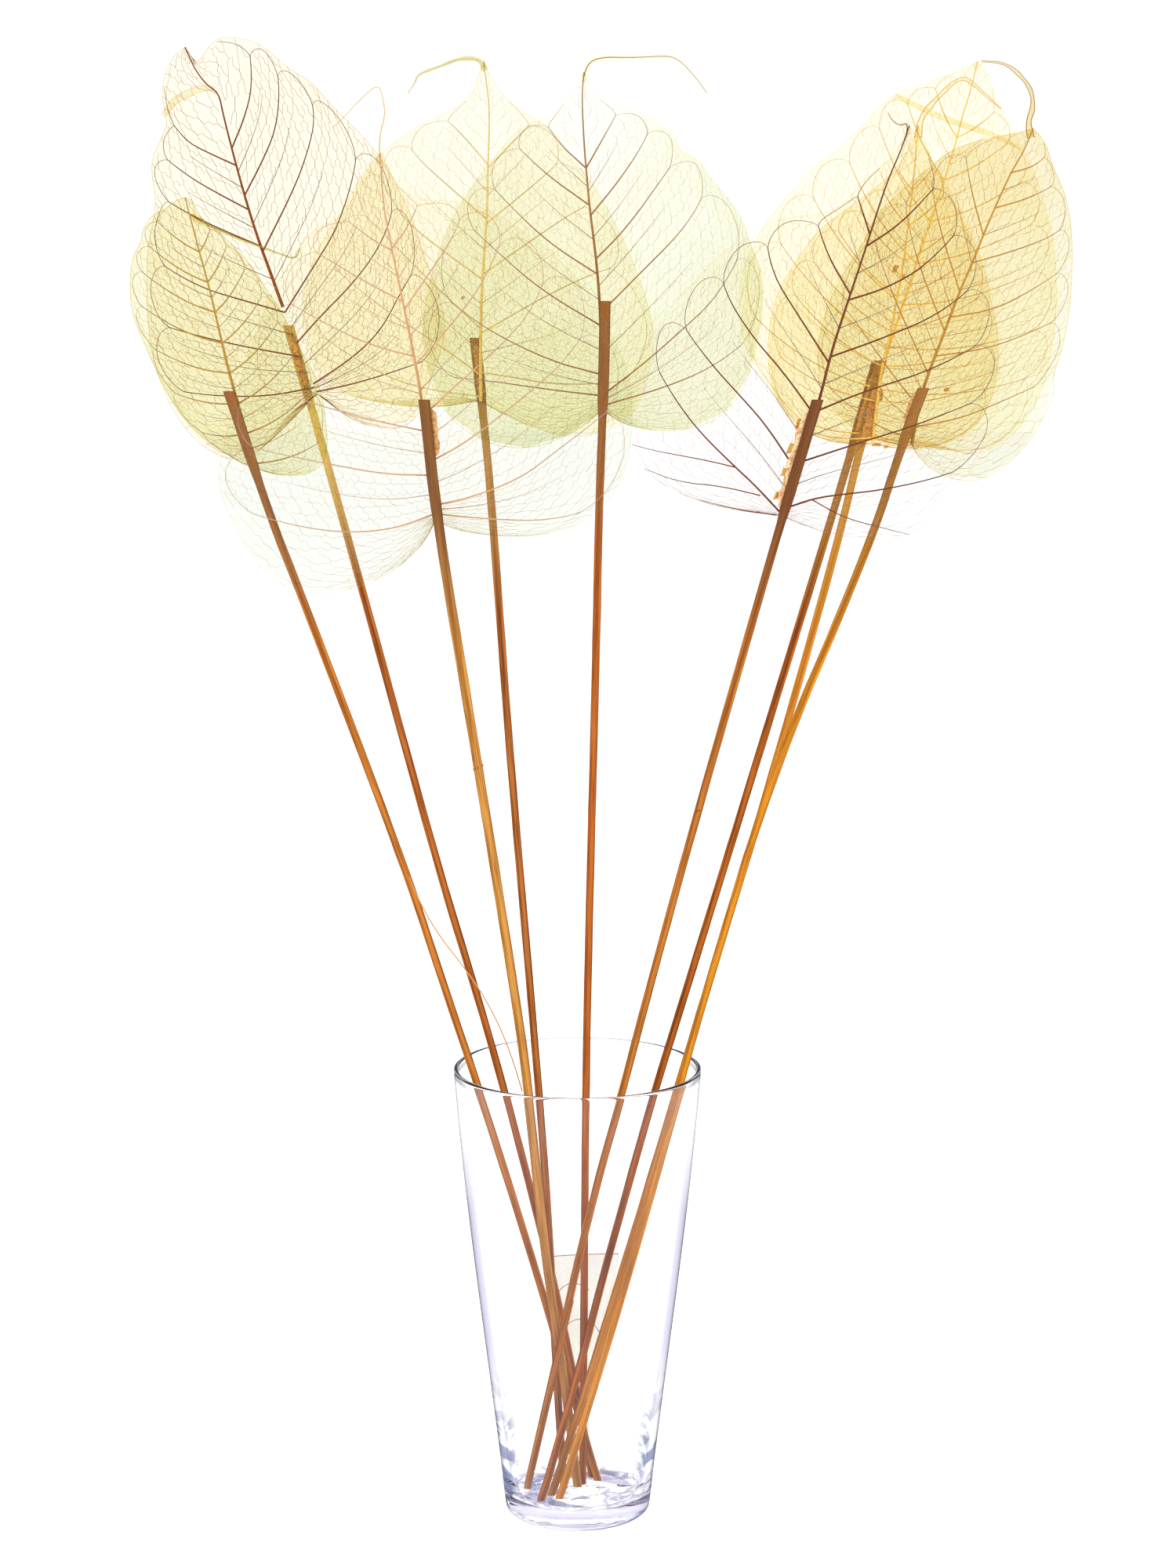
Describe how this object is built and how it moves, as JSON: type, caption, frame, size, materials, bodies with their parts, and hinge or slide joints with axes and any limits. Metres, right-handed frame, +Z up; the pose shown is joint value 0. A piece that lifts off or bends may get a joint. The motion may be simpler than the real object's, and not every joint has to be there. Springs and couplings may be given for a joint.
{
  "type": "skeleton leaf arrangement in a vase",
  "caption": "Skeletonised leaves with drawn-out tips, glued to thin wooden splint sticks that fan out of a clear conical glass vase.",
  "frame": {"origin": "centre of the vase's flat underside, on the surface it stands on", "axes": "+Z up; the sticks fan out along X and the leaves look towards -Y"},
  "size_m": [0.3876, 0.1683, 0.6372],
  "materials": {
    "clear_glass": "clear blown glass, polished",
    "splint_brown": "split red-brown wood, bare",
    "splint_tan": "split tan wood, bare",
    "splint_golden": "split golden wood, bare",
    "leaf_green": "skeletonised leaf net, yellow-green, translucent",
    "leaf_ivory": "skeletonised leaf net, ivory, translucent",
    "leaf_yellow": "skeletonised leaf net, pale yellow, translucent",
    "leaf_amber": "skeletonised leaf net, amber yellow, translucent",
    "hot_melt_glue": "amber hot-melt glue, glossy and flaky"
  },
  "bodies": {
    "root": {"vase": "clear_glass", "stick_1": "splint_brown", "stick_2": "splint_brown", "stick_3": "splint_tan", "stick_4": "splint_brown", "stick_5": "splint_brown", "stick_6": "splint_brown", "stick_7": "splint_brown", "stick_8": "splint_golden", "stick_9": "splint_golden", "leaf_1": "leaf_green", "leaf_2": "leaf_ivory", "leaf_3": "leaf_ivory", "leaf_4": "leaf_ivory", "leaf_5": "leaf_yellow", "leaf_6": "leaf_ivory", "leaf_7": "leaf_yellow", "leaf_8": "leaf_amber", "leaf_9": "leaf_amber", "glue_1": "hot_melt_glue", "glue_2": "hot_melt_glue", "glue_3": "hot_melt_glue", "glue_4": "hot_melt_glue", "glue_5": "hot_melt_glue", "glue_6": "hot_melt_glue", "glue_7": "hot_melt_glue", "glue_8": "hot_melt_glue", "glue_9": "hot_melt_glue", "leaf_scrap": "leaf_ivory"}
  },
  "joints": []
}
